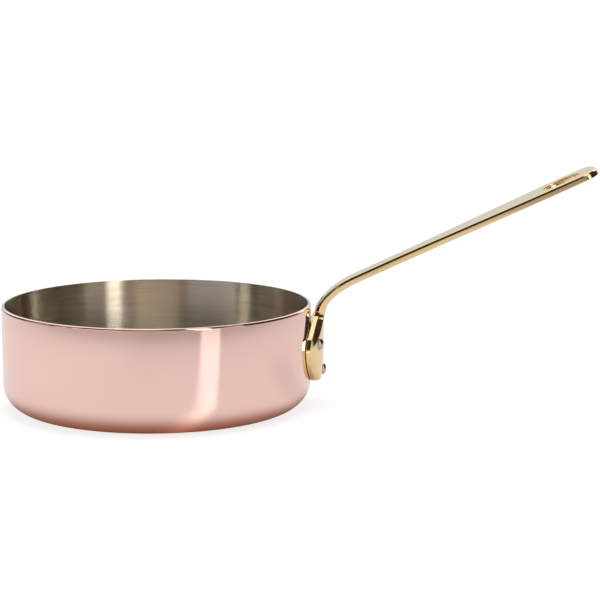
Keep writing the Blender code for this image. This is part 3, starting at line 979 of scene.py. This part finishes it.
def floor_material():
    """Pale paper that also glows, in one way for the camera and in another for mirrored rays."""
    material, shader, nodes = new_material("studio_floor")
    material.node_tree.nodes.remove(shader)
    output = material.node_tree.nodes["Material Output"]
    place = nodes.place()
    flat = nodes.vector("MULTIPLY", place, (1.0, 1.0, 0.0))
    radius = nodes.length(flat)
    shown, path = seen_ray(nodes)
    camera_ray = path.outputs["Is Camera Ray"]
    # painted bounce light: near the pan's foot the floor takes the copper's colour, for mirrored rays
    # only
    away = nodes.range(radius, *FOOT_PAINTED_BOUNCE_REACH, 0.0, 1.0)
    painted_bounce = nodes.colour(away, FOOT_PAINTED_BOUNCE, WHITE)

    grain = nodes.noise(place, FLOOR_GRAIN, detail=3.0)
    shade = tuple(part * FLOOR_GRAIN_SHADE for part in FLOOR_COLOUR)
    paper = nodes.colour(grain, shade, FLOOR_COLOUR)
    mirrored_paper = nodes.vector("MULTIPLY", painted_bounce, FLOOR_COLOUR_MIRRORED)
    paper = nodes.colour(path.outputs["Is Glossy Ray"], paper, mirrored_paper)
    paper = nodes.colour(camera_ray, paper, FLOOR_COLOUR_SEEN)
    matt = nodes.add("ShaderNodeBsdfDiffuse", {"Color": paper}).outputs[0]

    mirrored = nodes.range(radius, *GLOW_MIRRORED_REACH, *GLOW_MIRRORED)
    wedge = nodes.math("MULTIPLY", floor_wedge(nodes, flat), WEDGE_GLOW)
    mirrored = nodes.math("ADD", mirrored, wedge)
    left = nodes.range(nodes.parts(place)[0], *GLOW_LEFT_REACH, GLOW_LEFT, 0.0)
    mirrored = nodes.math("ADD", mirrored, left)
    seen = nodes.range(radius, *GLOW_SEEN_REACH, *GLOW_SEEN)
    choice = {0: camera_ray, 2: mirrored, 3: seen}
    strength = nodes.add("ShaderNodeMix", choice, data_type="FLOAT").outputs[0]
    # the glow carries the painted bounce light for mirrored rays, and is white for the camera
    glow_and_painted_bounce = nodes.colour(camera_ray, painted_bounce, WHITE)
    glow = nodes.add("ShaderNodeEmission", {"Color": glow_and_painted_bounce, "Strength": strength}).outputs[0]

    both = nodes.add("ShaderNodeAddShader", {0: matt, 1: glow}).outputs[0]
    surface = nodes.add("ShaderNodeMixShader", {0: shown, 1: matt, 2: both}).outputs[0]
    nodes.put(output.inputs["Surface"], surface)
    return material


def card_material():
    """Black felt of the card that darkens one side of the metal."""
    material, shader, nodes = new_material("studio_card")
    felt = nodes.noise(nodes.place(), FELT_GRAIN, detail=3.0)
    nodes.put(shader.inputs["Base Color"], nodes.colour(felt, *FELT_COLOURS))
    shader.inputs["Roughness"].default_value = FELT_ROUGHNESS
    return material


def sky_panel(nodes, direction):
    """1 inside the white panel's edges, and 0 outside."""
    def inside(normal, soft):
        return nodes.range(nodes.dot(direction, normal), -soft, soft, 0.0, 1.0)

    panel = nodes.math("MAXIMUM", *[inside(*edge) for edge in SKY_RIGHT_EDGES])
    for edge in SKY_EDGES:
        panel = nodes.math("MULTIPLY", inside(*edge), panel)
    return panel


def mirrored_lights(nodes, direction, room):
    """Adds the lights that only the metals show."""
    x, y, z = nodes.parts(direction)
    azimuth = nodes.math("ARCTAN2", x, nodes.math("MULTIPLY", y, -1.0))
    rise = nodes.math("ARCSINE", z)

    def band(value, low, high, soft):
        start = nodes.range(value, math.radians(low - soft), math.radians(low + soft), 0.0, 1.0)
        end = nodes.range(value, math.radians(high - soft), math.radians(high + soft), 1.0, 0.0)
        return nodes.math("MULTIPLY", start, end)

    side_softness, end_softness = LIGHT_SOFTNESS
    for low, high, lean, bottom, top, level, colour in STUDIO_LIGHTS:
        upright = nodes.math("SUBTRACT", azimuth, nodes.math("MULTIPLY", rise, lean))
        across = band(upright, low, high, side_softness)
        mask = nodes.math("MULTIPLY", across, band(rise, bottom, top, end_softness))
        lamp = nodes.scaled(colour, nodes.math("MULTIPLY", mask, level))
        room = nodes.vector("ADD", room, lamp)
    return room


def build_world():
    """A plain room for matt surfaces, white for the camera, and panels and lights for the metals."""
    world = bpy.data.worlds.new("studio")
    bpy.context.scene.world = world
    world.use_nodes = True
    nodes = Nodes(world.node_tree)
    background = world.node_tree.nodes["Background"]
    direction = nodes.add("ShaderNodeTexCoord").outputs["Generated"]
    height = nodes.range(nodes.parts(direction)[2], *SKY_RISE, 0.0, 1.0)
    sky = nodes.colour(height, BACK_COLOUR, SKY_COLOUR)
    room = nodes.colour(sky_panel(nodes, direction), FRONT_COLOUR, sky)
    room = mirrored_lights(nodes, direction, room)
    shown, path = seen_ray(nodes)
    plain = nodes.colour(shown, ROOM_COLOUR, room)
    white = nodes.colour(path.outputs["Is Camera Ray"], plain, WHITE)
    nodes.put(background.inputs["Color"], white)
    background.inputs["Strength"].default_value = 1.0


def area_lamp(name, place, target, size, level):
    """A soft panel of a given brightness, out of the camera's sight."""
    light = bpy.data.lights.new(name, "AREA")
    light.shape = "RECTANGLE"
    light.size, light.size_y = size
    light.energy = level * math.pi * size[0] * size[1]
    lamp = bpy.data.objects.new(name, light)
    bpy.context.scene.collection.objects.link(lamp)
    lamp.location = place
    lamp.rotation_euler = (Vector(target) - Vector(place)).to_track_quat("-Z", "Y").to_euler()
    lamp.visible_camera = False
    return lamp


def build_floor():
    bm = bmesh.new()
    bmesh.ops.create_circle(bm, cap_ends=True, segments=FLOOR_STEPS, radius=FLOOR_RADIUS)
    floor = add_object("studio_floor", bm, floor_material())
    floor.location.z = -FLOOR_DROP
    floor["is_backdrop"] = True


def build_card():
    """A dark card beside the pan, which only the metals show."""
    front, back = CARD_SIDES
    bottom, top = CARD_HEIGHTS
    corners = [(front, bottom), (back, bottom), (back, top), (front, top)]
    bm = bmesh.new()
    bm.faces.new([bm.verts.new((CARD_X, y, z)) for y, z in corners])
    card = add_object("dark_card", bm, card_material())
    card.visible_camera = False
    card.visible_diffuse = False
    card.visible_shadow = False
    card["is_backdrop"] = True


def build_overhead():
    """The lamp that casts the soft shadow; the metals don't show it."""
    below = (OVERHEAD_PLACE[0], OVERHEAD_PLACE[1], 0.0)
    lamp = area_lamp("soft_overhead", OVERHEAD_PLACE, below, OVERHEAD_SIZE, OVERHEAD_LEVEL)
    lamp.visible_glossy = False


def build_camera():
    right = Vector((1.0, 0.0, 0.0))
    up = Vector((0.0, math.sin(CAMERA_DIP), math.cos(CAMERA_DIP)))
    ahead = Vector((0.0, math.cos(CAMERA_DIP), -math.sin(CAMERA_DIP)))
    offset = right * CAMERA_SHIFT.x + up * CAMERA_SHIFT.y + ahead * CAMERA_DISTANCE
    place = Vector((0.0, 0.0, CAMERA_LEVEL)) - offset
    turn = Matrix.Rotation(CAMERA_TURN, 3, "Z")
    axes = turn @ Matrix((right, up, -ahead)).transposed()
    data = bpy.data.cameras.new("photo_camera")
    data.sensor_width = SENSOR_WIDTH
    data.lens = SENSOR_WIDTH * FOCAL_PIXELS / IMAGE_SIZE
    data.clip_start = CLIP_START
    camera = bpy.data.objects.new("photo_camera", data)
    bpy.context.scene.collection.objects.link(camera)
    camera.matrix_world = Matrix.Translation(turn @ place) @ axes.to_4x4()
    bpy.context.scene.camera = camera


def write_sizes():
    boxes = {"cad": cad_box, "visual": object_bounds()}
    plain = {name: [[float(value) for value in corner] for corner in box] for name, box in boxes.items()}


build_camera()
build_body()
build_handle()
build_rivets()
build_world()
build_floor()
build_card()
build_overhead()
bpy.context.scene.view_settings.view_transform = "Standard"
write_sizes()
